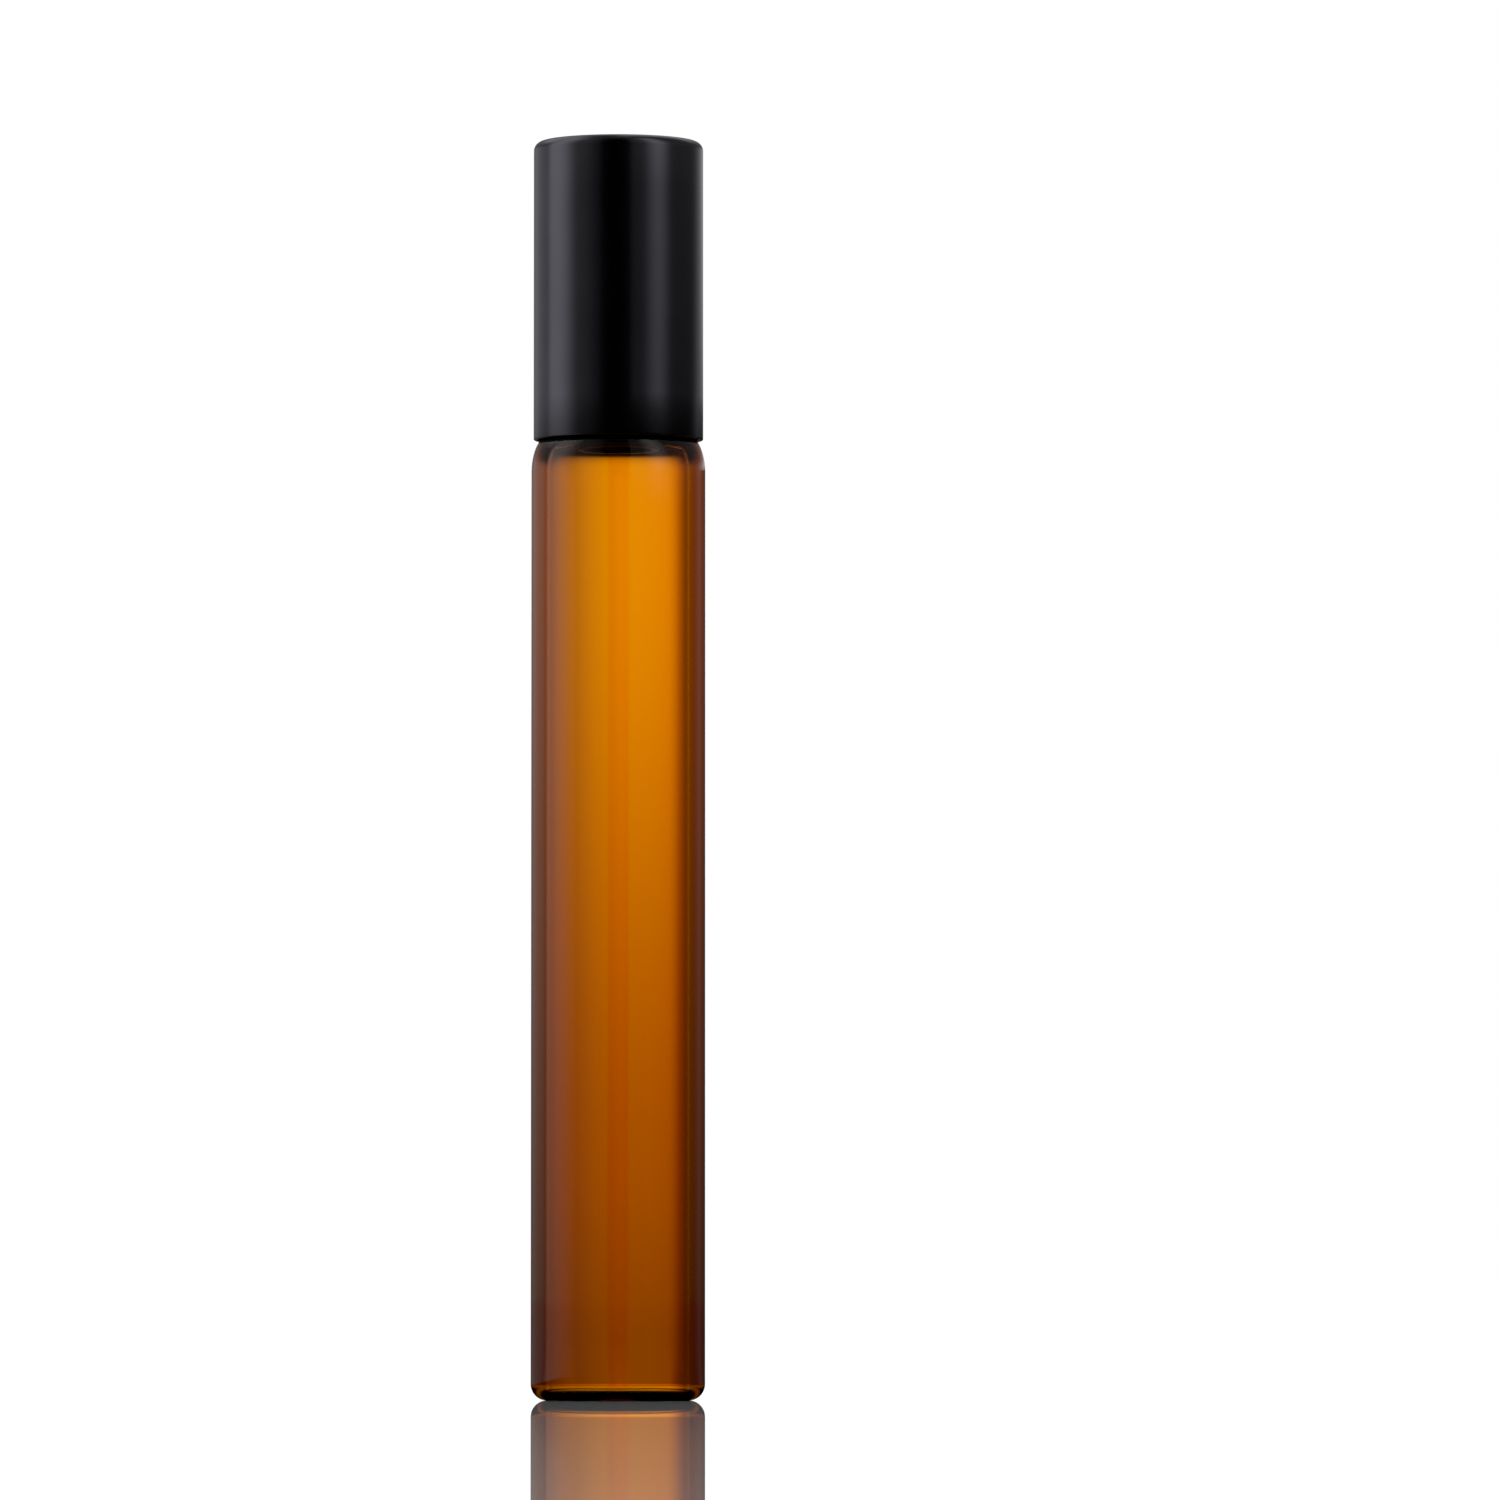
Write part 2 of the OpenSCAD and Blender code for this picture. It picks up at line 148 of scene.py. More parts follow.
class FitmentSettings(bpy.types.PropertyGroup):
    """Sizes and colours of the roller fitment, its ball and the seal disc."""

    ball_radius: length("Ball radius", "Radius of the steel ball", (ball_high.x - ball_low.x) / 2)
    ball_height: length(
        "Ball height", "Height of the ball's middle", (ball_low.z + ball_high.z) / 2)
    ball_gap: length("Ball gap", "Gap round the ball in its cup", 0.05 * MM)
    collar_radius: length("Collar radius", "Outside radius of the collar", housing_high.x)
    collar_top: length("Collar top", "Height of the collar's lip", housing_high.z)
    collar_edge: length("Collar edge", "Radius of the collar's upper edge", 0.6 * MM)
    collar_foot: length("Collar foot", "Radius of the collar's lower edge", 0.08 * MM)
    lip_bevel: length("Lip bevel", "Bevel at the mouth round the ball", 0.06 * MM)
    groove_height: length("Groove height", "Groove between collar and rim", 0.25 * MM)
    groove_depth: length("Groove depth", "Depth of that groove", 0.3 * MM)
    plug_radius: length("Plug radius", "Outside radius of the plug", 4.2 * MM)
    plug_bore: length("Plug bore", "Radius of the bore in the plug", 3.3 * MM)
    plug_foot: length("Plug foot", "Height of the plug's lower end", housing_low.z)
    plug_edge: length("Plug edge", "Radius of the plug's lower edge", 0.1 * MM)
    plug_bevel_height: length("Bevel height", "Bevel at the plug's foot", 0.9 * MM)
    plug_bevel_width: length("Bevel width", "Bevel at the plug's foot", 0.4 * MM)
    bead_height: length("Bead height", "Height of one sealing bead", 1 * MM)
    bead_out: length("Bead out", "How far a bead stands out of the plug", 0.16 * MM)
    bead_depth: length("Bead depth", "First bead below the rim", 1.6 * MM)
    bead_step: length("Bead step", "From one bead to the next", 2 * MM)
    bead_count: IntProperty(name="Beads", description="Number of beads", default=3, min=0, max=4)
    cup_floor: length("Cup floor", "Thickness of the floor under the ball", 1 * MM)
    feed_radius: length("Feed hole", "Radius of the feed hole", 1.98 * MM)
    slot_reach: length("Slot reach", "How far a feed slot reaches from the axis", 2.8 * MM)
    slot_width: length("Slot width", "Width of a feed slot", 0.9 * MM)
    disc_radius: length("Disc radius", "Radius of the seal disc", disc_high.x)
    disc_foot: length("Disc foot", "Height of the disc's underside", disc_low.z)
    disc_top: length("Disc top", "Height of the disc's upper side", disc_high.z)
    disc_edge: length("Disc edge", "Radius of the disc's edges", 0.12 * MM)
    seal_gap: length("Seal gap", "Gap between the disc and the ball", 0.1 * MM)
    plastic: finish_colour("Plastic", "Colour of the fitment", (0.004, 0.004, 0.0045))
    steel: finish_colour("Steel", "Colour of the polished ball", (0.70, 0.70, 0.71))
    foam: finish_colour("Foam", "Colour of the seal disc", (0.74, 0.72, 0.67))


class CapSettings(bpy.types.PropertyGroup):
    """Sizes and colours of the cap's metal shell and its threaded inner cap."""

    shell_radius: length("Shell radius", "Outside radius of the shell", shell_high.x)
    shell_wall: length("Shell wall", "Thickness of the shell's metal", 0.4 * MM)
    shell_foot: length("Shell foot", "Height of the shell's lower edge", shell_low.z)
    shell_top: length("Shell top", "Height of the shell's top", shell_high.z)
    shell_edge: length("Shell edge", "Radius of the shell's upper edge", 0.9 * MM)
    foot_edge: length("Foot edge", "Radius of the shell's lower edge", 0.12 * MM)
    liner_foot: length("Inner cap foot", "Height of its lower edge", liner_low.z)
    liner_top: length("Inner cap top", "Height of its upper edge", liner_high.z)
    liner_radius: length("Inner cap radius", "Its outside radius under the ribs", 7.45 * MM)
    liner_edge: length("Inner cap edge", "Radius of its lower edge", 0.15 * MM)
    liner_bore: length("Inner cap bore", "Radius of its threaded bore", 6.6 * MM)
    upper_bore: length("Upper bore", "Radius of its bore round the collar", 6.0 * MM)
    bore_step: length("Bore step", "Where its bore starts to narrow", 99.65 * MM)
    mouth_bevel: length("Mouth bevel", "Bevel at its mouth", 0.3 * MM)
    pocket_gap: length("Pocket gap", "Gap round the disc in its pocket", 0.1 * MM)
    disc_lip_height: length("Disc lip height", "Lip that keeps the disc", 0.6 * MM)
    disc_lip_width: length("Disc lip width", "How far it reaches in", 0.25 * MM)
    web: length("Web", "Thickness of the web over the disc", 1 * MM)
    liner_wall: length("Inner cap wall", "Its wall over the web", 1.2 * MM)
    hub_radius: length("Hub radius", "Radius of the hub over the web", 2.2 * MM)
    web_ribs: IntProperty(name="Web ribs", description="Radial ribs", default=6, min=1, max=12)
    web_rib_angle: turn_angle("Web rib angle", "Turn angle that one rib fills", 14)
    rib_bite: length("Rib bite", "How far a web rib goes into its neighbours", 0.1 * MM)
    grip_ribs: IntProperty(
        name="Grip ribs", description="Ribs in the shell", default=24, min=1, max=48)
    grip_rib: length("Grip rib", "Radius of one grip rib", 0.24 * MM)
    thread_height: length("Thread height", "Height of the inner thread", 0.75 * MM)
    thread_foot: length("Thread foot", "Width of the inner thread at the bore", 1.06 * MM)
    thread_crest: length("Thread crest", "Width of the inner thread's crest", 0.36 * MM)
    thread_line: length("Thread line", "Where it passes turn angle 0", 93.4 * MM)
    thread_start: turn_angle("Thread start", "Where the inner thread begins", 60)
    thread_end: turn_angle("Thread end", "Where the inner thread ends", 640)
    metal: finish_colour("Metal", "Colour of the shell's dyed oxide", (0.116, 0.113, 0.132))
    plastic: finish_colour("Plastic", "Colour of the inner cap", (0.02, 0.02, 0.022))


class StageSettings(bpy.types.PropertyGroup):
    """The floor, the studio light and the camera."""

    floor_size: length("Floor size", "Length of the floor's side", 6.0)
    floor: finish_colour("Floor", "Colour of the glossy floor", (0.96, 0.96, 0.96))
    camera_distance: length("Camera distance", "From the bottle to the camera", 1.03)
    camera_height: length("Camera height", "Height of the camera", 12 * MM)
    frame_width: length("Frame width", "Width that the picture takes in", 142.3 * MM)
    frame_right: length("Frame right", "Picture's middle right of the bottle", 12.5 * MM)
    frame_height: length("Frame height", "Height of the picture's middle", 61.6 * MM)


class Value:
    """One socket of a node tree. Sums that are written on it become Math nodes."""

    def __init__(self, tree, socket):
        self.tree = tree
        self.socket = socket

    def sum(self, operation, *others):
        """A Math node of this value and others."""
        node = self.tree.node("ShaderNodeMath", {"operation": operation}, {
            i: v for i, v in enumerate((self, *others))})
        return node["Value"]

    def __add__(self, other):
        return self.sum("ADD", other)

    __radd__ = __add__

    def __sub__(self, other):
        return self.sum("SUBTRACT", other)

    def __rsub__(self, other):
        return self.tree.value(other).sum("SUBTRACT", self)

    def __mul__(self, other):
        return self.sum("MULTIPLY", other)

    __rmul__ = __mul__

    def __truediv__(self, other):
        return self.sum("DIVIDE", other)

    def __rtruediv__(self, other):
        return self.tree.value(other).sum("DIVIDE", self)

    def __pow__(self, other):
        return self.sum("POWER", other)

    def __lt__(self, other):
        return self.sum("LESS_THAN", other)

    def __gt__(self, other):
        return self.sum("GREATER_THAN", other)


class Made:
    """A node that was made, whose outputs are read by name or number as values."""

    def __init__(self, tree, node):
        self.tree = tree
        self.node = node

    def __getitem__(self, name):
        return Value(self.tree, self.node.outputs[name])


class Tree:
    """Builds one node tree, of a material, of the world or of a Geometry Nodes modifier."""

    def __init__(self, node_tree):
        self.nodes = node_tree.nodes
        self.links = node_tree.links
        self.nodes.clear()

    def node(self, kind, settings=None, inputs=None):
        """Makes a node: its settings are set first, then the values or links of its sockets."""
        made = self.nodes.new(kind)
        for name, setting in (settings or {}).items():
            setattr(made, name, setting)
        for key, value in (inputs or {}).items():
            socket = made.inputs[key]
            if isinstance(value, Value):
                self.links.new(value.socket, socket)
            elif value is not None:
                socket.default_value = value
        return Made(self, made)

    def value(self, number):
        """A number as a value, for a sum that starts with it."""
        node = self.node("ShaderNodeMath", {"operation": "ADD"}, {0: number, 1: 0.0})
        return node["Value"]

    def smooth(self, value, low, high):
        """0 below low and 1 above high, with a smooth passage between them."""
        node = self.node("ShaderNodeMapRange", {"interpolation_type": "SMOOTHSTEP"}, {
            "Value": value, "From Min": low, "From Max": high})
        return node["Result"]

    def band(self, value, low, high, soft):
        """1 between low and high, with soft edges."""
        return self.smooth(value, low - soft, low + soft) * (
            1 - self.smooth(value, high - soft, high + soft))

    def noise(self, vector, scale, detail=2.0, roughness=0.5):
        """Noise between 0 and 1, whose features are 1/scale metres wide."""
        node = self.node("ShaderNodeTexNoise", {"noise_dimensions": "3D"}, {
            "Vector": vector, "Scale": scale, "Detail": detail, "Roughness": roughness})
        return node["Fac"]

    def stretched(self, vector, x, y, z):
        """A position stretched along each axis."""
        node = self.node("ShaderNodeVectorMath", {"operation": "MULTIPLY"}, {
            0: vector, 1: (x, y, z)})
        return node["Vector"]

    def blend(self, share, low, high):
        """A colour between two colours."""
        low, high = (c if isinstance(c, Value) else (*c, 1) for c in (low, high))
        node = self.node("ShaderNodeMix", {"data_type": "RGBA"}, {0: share, 6: low, 7: high})
        return node[2]

    def bump(self, height, strength, distance):
        """The normal of a surface that a height makes uneven."""
        node = self.node("ShaderNodeBump", None, {
            "Strength": strength, "Distance": distance, "Height": height})
        return node["Normal"]


def material(name):
    """A new material, the builder of its tree and the place on the object as a vector."""
    made = bpy.data.materials.new(name)
    made.use_nodes = True
    tree = Tree(made.node_tree)
    return made, tree, tree.node("ShaderNodeTexCoord")["Object"]


def finish_surface(tree, inputs):
    """Ends a tree with one Principled shader and its inputs."""
    shader = tree.node("ShaderNodeBsdfPrincipled", None, inputs)
    tree.node("ShaderNodeOutputMaterial", None, {"Surface": shader["BSDF"]})


def amber_glass(vial):
    """Drawn amber tube: clear through its whole depth, with faint draw lines."""
    made, tree, place = material("amber_glass")
    waves = tree.noise(tree.stretched(place, 1, 1, 0.25), 90, 1)
    lines = tree.noise(tree.stretched(place, 1, 1, 0.03), 900, 1)
    height = waves * 0.8 + lines * 0.2
    shader = tree.node("ShaderNodeBsdfPrincipled", None, {
        "Base Color": (1, 1, 1, 1),
        "Roughness": 0.012,
        "IOR": 1.51,
        "Transmission Weight": 1.0,
        "Normal": tree.bump(height, 0.25, 0.03 * MM),
    })
    depth = tree.node("ShaderNodeVolumeAbsorption", None, {
        "Color": (*vial.glass, 1), "Density": vial.absorption})
    tree.node("ShaderNodeOutputMaterial", None, {
        "Surface": shader["BSDF"], "Volume": depth["Volume"]})
    return made


def black_moulding(name, colour, roughness):
    """Injection-moulded black plastic, with a fine even texture and slight sink."""
    made, tree, place = material(name)
    grain = tree.noise(place, 6000, 2)
    cloud = tree.noise(place, 350, 2)
    tint = tree.blend(tree.smooth(cloud, 0.3, 0.7), colour, [c * 1.5 for c in colour])
    finish_surface(tree, {
        "Base Color": tint,
        "Roughness": roughness + cloud * 0.08 + grain * 0.06,
        "IOR": 1.62,
        "Normal": tree.bump(grain, 0.35, 0.006 * MM),
    })
    return made


def satin_shell(cap):
    """Blasted and black-dyed aluminium: satin, with the finest grain of the blasting."""
    made, tree, place = material("satin_black_metal")
    grain = tree.noise(place, 9000, 3, 0.6)
    cloud = tree.noise(place, 260, 2)
    tint = tree.blend(
        tree.smooth(grain * 0.5 + cloud * 0.5, 0.3, 0.7),
        [c * 0.92 for c in cap.metal], [c * 1.08 for c in cap.metal])
    finish_surface(tree, {
        "Base Color": tint,
        "Metallic": 1.0,
        "Roughness": 0.18 + cloud * 0.04 + grain * 0.04,
        "Normal": tree.bump(grain, 0.25, 0.004 * MM),
    })
    return made


def polished_steel(fitment):
    """A ground and tumbled steel ball, with hair-fine marks of rolling in its cup."""
    made, tree, place = material("polished_steel")
    marks = tree.noise(tree.stretched(place, 1, 0.12, 1), 5200, 2)
    cloud = tree.noise(place, 420, 2)
    tint = tree.blend(cloud, [c * 0.95 for c in fitment.steel], fitment.steel)
    finish_surface(tree, {
        "Base Color": tint,
        "Metallic": 1.0,
        "Roughness": 0.1 + tree.smooth(marks, 0.55, 0.8) * 0.06 + cloud * 0.02,
        "Normal": tree.bump(marks, 0.14, 0.002 * MM),
    })
    return made


def disc_foam(fitment):
    """Closed-cell foam: pale and matt, with cut cells over its faces."""
    made, tree, place = material("disc_foam")
    cells = tree.node("ShaderNodeTexVoronoi", {"feature": "F1"}, {
        "Vector": place, "Scale": 5500})["Distance"]
    cloud = tree.noise(place, 500, 3)
    dark = [c * 0.78 for c in fitment.foam]
    tint = tree.blend(tree.smooth(cells + cloud * 0.3, 0.25, 0.85), fitment.foam, dark)
    finish_surface(tree, {
        "Base Color": tint,
        "Roughness": 0.72 + cells * 0.15,
        "Normal": tree.bump(cells, 0.5, 0.03 * MM),
    })
    return made


def arc(radius, height, bend, start, end, steps=8):
    """Points of a round stretch about a point, from one angle to another, in degrees."""
    angles = [math.radians(start + (end - start) * i / steps) for i in range(steps + 1)]
    return [(radius + bend * math.cos(a), height + bend * math.sin(a)) for a in angles]


def bent(start, handle, end, steps=10):
    """Points of a curve that leaves start and meets end, drawn towards a handle."""
    shares = [i / steps for i in range(1, steps + 1)]
    return [
        tuple(
            s * (1 - t) ** 2 + h * 2 * t * (1 - t) + e * t * t
            for s, h, e in zip(start, handle, end))
        for t in shares
    ]


def rows(radius, start, end, step):
    """Points up or down a straight wall, close enough together to carry a thread."""
    count = max(1, round(abs(end - start) / step))
    return [(radius, start + (end - start) * i / count) for i in range(count + 1)]


def turned(name, outline, segments, ring=False):
    """The closed surface that an outline makes when it is turned round the Z axis."""
    points = []
    for point in outline:
        if not points or math.dist(point, points[-1]) > SAME_POINT:
            points.append(point)
    vertices, starts = [], []
    for radius, height in points:
        starts.append(len(vertices))
        if radius < SAME_POINT:
            vertices.append((0, 0, height))
            continue
        for i in range(segments):
            a = FULL_TURN * i / segments
            vertices.append((radius * math.cos(a), radius * math.sin(a), height))
    faces = []
    pairs = list(zip(range(len(points)), range(1, len(points))))
    if ring:
        pairs.append((len(points) - 1, 0))
    for here, there in pairs:
        low, high = starts[here], starts[there]
        at_axis, to_axis = points[here][0] < SAME_POINT, points[there][0] < SAME_POINT
        for i in range(segments):
            j = (i + 1) % segments
            if at_axis and to_axis:
                continue
            if at_axis:
                faces.append((low, high + j, high + i))
            elif to_axis:
                faces.append((low + i, low + j, high))
            else:
                faces.append((low + i, low + j, high + j, high + i))
    mesh = bpy.data.meshes.new(name)
    mesh.from_pydata(vertices, [], faces)
    return mesh


def outward(mesh, sharp=40):
    """Merges doubled points, turns faces outward, and shades edges under sharp degrees smooth."""
    solid = bmesh.new()
    solid.from_mesh(mesh)
    bmesh.ops.remove_doubles(solid, verts=solid.verts, dist=SAME_POINT)
    bmesh.ops.recalc_face_normals(solid, faces=solid.faces)
    solid.to_mesh(mesh)
    solid.free()
    mesh.shade_smooth()
    mesh.set_sharp_from_angle(angle=math.radians(sharp))
    return mesh


def piece(mesh, name, finish):
    """An object with one finish, in the scene."""
    made = bpy.data.objects.new(name, mesh)
    bpy.context.scene.collection.objects.link(made)
    mesh.materials.clear()
    mesh.materials.append(finish)
    return made


def prism(outline, low, high):
    """A closed block whose plan is an outline of (x, y) points."""
    count = len(outline)
    vertices = [(x, y, z) for z in (low, high) for x, y in outline]
    faces = [(i, (i + 1) % count, (i + 1) % count + count, i + count) for i in range(count)]
    faces += [tuple(reversed(range(count))), tuple(range(count, 2 * count))]
    mesh = bpy.data.meshes.new("block")
    mesh.from_pydata(vertices, [], faces)
    return mesh


def applied(obj):
    """Turns what an object's modifiers make into its plain mesh."""
    depsgraph = bpy.context.evaluated_depsgraph_get()
    mesh = bpy.data.meshes.new_from_object(obj.evaluated_get(depsgraph))
    obj.modifiers.clear()
    obj.data = mesh


def join_into(obj, other):
    """Adds another object's mesh to this one's, and removes the other."""
    solid = bmesh.new()
    solid.from_mesh(obj.data)
    solid.from_mesh(other.data)
    solid.to_mesh(obj.data)
    solid.free()
    bpy.data.objects.remove(other)


def rule_tree(name, inputs):
    """A Geometry Nodes tree with named inputs: the group, its builder, inputs and sockets."""
    group = bpy.data.node_groups.new(name, "GeometryNodeTree")
    face = group.interface
    face.new_socket(name="Geometry", in_out="OUTPUT", socket_type="NodeSocketGeometry")
    sockets = {
        label: face.new_socket(name=label, in_out="INPUT", socket_type=kind)
        for label, kind in [("Geometry", "NodeSocketGeometry"), *inputs]
    }
    tree = Tree(group)
    return group, tree, tree.node("NodeGroupInput"), sockets


def finish_rule(tree, geometry, finish):
    """Ends a tree with plain geometry of one finish."""
    real = tree.node("GeometryNodeRealizeInstances", None, {"Geometry": geometry})
    painted = tree.node("GeometryNodeSetMaterial", None, {
        "Geometry": real["Geometry"], "Material": finish})
    tree.node("NodeGroupOutput", None, {"Geometry": painted["Geometry"]})


def follow_rule(obj, group, sockets, values):
    """Runs a tree on an object with the values of its inputs, and keeps the plain result."""
    modifier = obj.modifiers.new(group.name, "NODES")
    modifier.node_group = group
    for label, value in values.items():
        modifier[sockets[label].identifier] = value
    applied(obj)


def thread_rule():
    """The tree that raises a screw thread on a finely divided round wall, without a cut."""
    lengths = ["Wall radius", "Pitch", "Height", "Foot width", "Crest width", "Line height"]
    angles = ["Start", "End", "Run-out"]
    group, tree, given, sockets = rule_tree("screw_thread", [
        *[(n, "NodeSocketFloat") for n in lengths + angles],
        ("Way", "NodeSocketFloat"), ("Material", "NodeSocketMaterial")])
    place = tree.node("GeometryNodeInputPosition")["Position"]
    parts = tree.node("ShaderNodeSeparateXYZ", None, {"Vector": place})
    x, y, z = parts["X"], parts["Y"], parts["Z"]
    radius = (x * x + y * y) ** 0.5
    turn = y.sum("ARCTAN2", x) / FULL_TURN
    above = z - given["Line height"] - given["Pitch"] * turn
    whole = (above / given["Pitch"]).sum("ROUND")
    off = (above - whole * given["Pitch"]).sum("ABSOLUTE")
    half_foot, half_crest = given["Foot width"] * 0.5, given["Crest width"] * 0.5
    climb = tree.node("ShaderNodeClamp", None, {
        "Value": (half_foot - off) / (half_foot - half_crest)})["Result"]
    ridge = 1 - (1 - climb) ** CREST_POWER
    way_round = (turn + whole) * FULL_TURN
    from_end = (way_round - given["Start"]).sum("MINIMUM", given["End"] - way_round)
    run = tree.node("ShaderNodeClamp", None, {"Value": from_end / given["Run-out"]})["Result"]
    lift = (run * (math.pi / 2)).sum("SINE")
    on_wall = (radius - given["Wall radius"]).sum("ABSOLUTE") < ON_WALL
    rise = given["Way"] * given["Height"] * ridge * lift * on_wall / radius
    offset = tree.node("ShaderNodeCombineXYZ", None, {"X": x * rise, "Y": y * rise})
    raised = tree.node("GeometryNodeSetPosition", None, {
        "Geometry": given["Geometry"], "Offset": offset["Vector"]})
    finish_rule(tree, raised["Geometry"], given["Material"])
    return group, sockets


def screw_thread(obj, radius, own, lead, way, finish):
    """Raises a thread on an object's wall, outward by way 1 and inward by way -1."""
    group, sockets = thread_rule()
    follow_rule(obj, group, sockets, {
        "Wall radius": radius, "Pitch": lead.thread_pitch, "Height": own.thread_height,
        "Foot width": own.thread_foot, "Crest width": own.thread_crest,
        "Line height": own.thread_line, "Start": own.thread_start, "End": own.thread_end,
        "Run-out": lead.thread_run_out, "Way": way, "Material": finish,
    })


def ring_rule():
    """The tree that repeats one rib round the Z axis."""
    group, tree, given, sockets = rule_tree("ribs_in_a_ring", [
        ("Count", "NodeSocketInt"), ("Material", "NodeSocketMaterial")])
    points = tree.node("GeometryNodeMeshLine", None, {
        "Count": given["Count"], "Offset": (0, 0, 0)})
    index = tree.node("GeometryNodeInputIndex")["Index"]
    turn = tree.node("ShaderNodeCombineXYZ", None, {"Z": index * FULL_TURN / given["Count"]})
    ribs = tree.node("GeometryNodeInstanceOnPoints", None, {
        "Points": points["Mesh"], "Instance": given["Geometry"], "Rotation": turn["Vector"]})
    finish_rule(tree, ribs["Instances"], given["Material"])
    return group, sockets


def vial_outline(vial):
    """Outside and inside of the vial, from the middle of its base round to its floor."""
    r, h = vial.barrel_radius, vial.barrel_height
    neck, rim = vial.neck_radius, vial.rim_height
    crown_end, ceiling_end = 70, 62  # degrees round the shoulder, outside and inside
    hollow = [
        (vial.push_up_radius * i / 10, vial.push_up_height * (1 - (i / 10) ** 2))
        for i in range(11)
    ]
    base = arc(r - vial.base_edge, vial.base_edge, vial.base_edge, -90, 0, 14)
    barrel = rows(r, vial.base_edge, h, PLAIN_ROW)
    crown = [
        (r - vial.shoulder_width * (1 - math.cos(a)), h + vial.shoulder_height * math.sin(a))
        for a in (math.radians(crown_end * i / 16) for i in range(17))
    ]
    flare_foot = (neck + vial.flare_foot_out, h + vial.flare_foot_rise)
    flare_top = (neck + vial.flare_top_out, h + vial.flare_top_rise)
    neck_foot = h + vial.neck_rise
    end = crown[-1]
    # Each handle draws its curve towards the corner that it rounds.
    handle = (end[0] + (flare_foot[0] - end[0]) * 0.74, end[1] + (flare_foot[1] - end[1]) * 0.38)
    flare = bent(end, handle, flare_foot) + bent(
        flare_foot, (flare_foot[0] - 0.1 * MM, flare_foot[1] + 0.6 * MM), flare_top, 6)
    step = bent(flare_top, (neck + 0.02 * MM, flare_top[1] + 0.12 * MM), (neck, neck_foot), 8)
    soft, bore = vial.rim_edge, vial.neck_bore
    wall = rows(neck, neck_foot, rim - soft, THREAD_ROW)
    lip = arc(neck - soft, rim - soft, soft, 0, 90)
    soft = vial.mouth_edge
    mouth = arc(bore + soft, rim - soft, soft, 90, 180, 5)
    inside = r - vial.barrel_wall
    under = []
    for a in (math.radians(ceiling_end * (1 - i / 20)) for i in range(21)):
        lean = math.atan2(vial.shoulder_width * math.sin(a), vial.shoulder_height * math.cos(a))
        under.append((
            r - vial.shoulder_width * (1 - math.cos(a)) - vial.barrel_wall * math.cos(lean),
            h + vial.shoulder_height * math.sin(a) - vial.barrel_wall * math.sin(lean)))
    edge = vial.bore_edge
    fall = arc(bore + edge, under[0][1] + vial.ceiling_rise + edge, edge, 180, 250) + under
    floor = vial.push_up_height + vial.base_thickness
    soft = vial.base_corner
    corner = arc(inside - soft, floor + soft, soft, 0, -90, 14)
    bottom = [
        (corner[-1][0] * (1 - i / 6), floor - vial.floor_sag * (1 - math.cos(math.pi * i / 6)) / 2)
        for i in range(7)
    ]
    return [*hollow, *base, *barrel, *crown, *flare, *step, *wall, *lip, *mouth,
            *fall, *rows(inside, fall[-1][1], floor + soft, PLAIN_ROW), *corner, *bottom]


def fitment_outline(fitment, rim):
    """The fitment's section, which is a closed ring round its feed hole."""
    cup = fitment.ball_radius + fitment.ball_gap
    middle = fitment.ball_height
    plug, foot = fitment.plug_radius, fitment.plug_foot
    collar, top = fitment.collar_radius, fitment.collar_top
    edge, soft = fitment.collar_edge, fitment.collar_foot
    floor = middle - cup - fitment.cup_floor
    beads = []
    for i in reversed(range(fitment.bead_count)):
        z = rim - fitment.bead_depth - fitment.bead_step * i
        beads += [
            (plug + fitment.bead_out * math.cos(a), z + fitment.bead_height / 2 * math.sin(a))
            for a in (math.radians(-90 + 18 * k) for k in range(11))
        ]
    groove = collar - fitment.groove_depth
    seat = rim + fitment.groove_height
    lip_angle = math.degrees(math.asin((top - middle) / cup))
    feed_angle = -math.degrees(math.acos(fitment.feed_radius / cup))
    cup_wall = arc(0, middle, cup, lip_angle - 1, feed_angle, 40)
    lip_radius = math.sqrt(cup * cup - (top - middle) ** 2)
    return [
        (fitment.plug_bore, foot),
        *arc(plug - fitment.plug_bevel_width, foot + fitment.plug_edge, fitment.plug_edge,
             -90, -25, 3),
        (plug, foot + fitment.plug_bevel_height),
        *beads, (plug, rim), (groove, rim), (groove, seat),
        *arc(collar - soft, seat + soft, soft, -90, 0, 4),
        *arc(collar - edge, top - edge, edge, 0, 90, 12),
        (lip_radius + fitment.lip_bevel, top),
        (lip_radius + fitment.lip_bevel / 3, top - fitment.lip_bevel / 3),
        *cup_wall, (fitment.feed_radius, floor), (fitment.plug_bore, floor),
    ]


def inner_cap_outline(cap, fitment):
    """The inner cap's section, from the disc's pocket down its bore and up its outside."""
    pocket = fitment.disc_radius + cap.pocket_gap
    low, high = fitment.disc_foot - cap.pocket_gap, fitment.disc_top + cap.pocket_gap
    lip = fitment.disc_radius - cap.disc_lip_width
    lip_foot = low - cap.disc_lip_height
    narrow = cap.bore_step + cap.liner_bore - cap.upper_bore
    foot, bevel, soft = cap.liner_foot, cap.mouth_bevel, cap.liner_edge
    return [
        (0, high), (pocket, high), (pocket, low), (lip, low), (lip, lip_foot),
        (cap.upper_bore, lip_foot), (cap.upper_bore, narrow),
        *rows(cap.liner_bore, cap.bore_step, foot + bevel, THREAD_ROW),
        *arc(cap.liner_bore + bevel, foot + bevel, bevel, 180, 270, 5),
        *arc(cap.liner_radius - soft, foot + soft, soft, -90, 0, 4),
        (cap.liner_radius, cap.liner_top), (cap.liner_radius - cap.liner_wall, cap.liner_top),
        (cap.liner_radius - cap.liner_wall, high + cap.web), (cap.hub_radius, high + cap.web),
        (cap.hub_radius, cap.liner_top), (0, cap.liner_top),
    ]


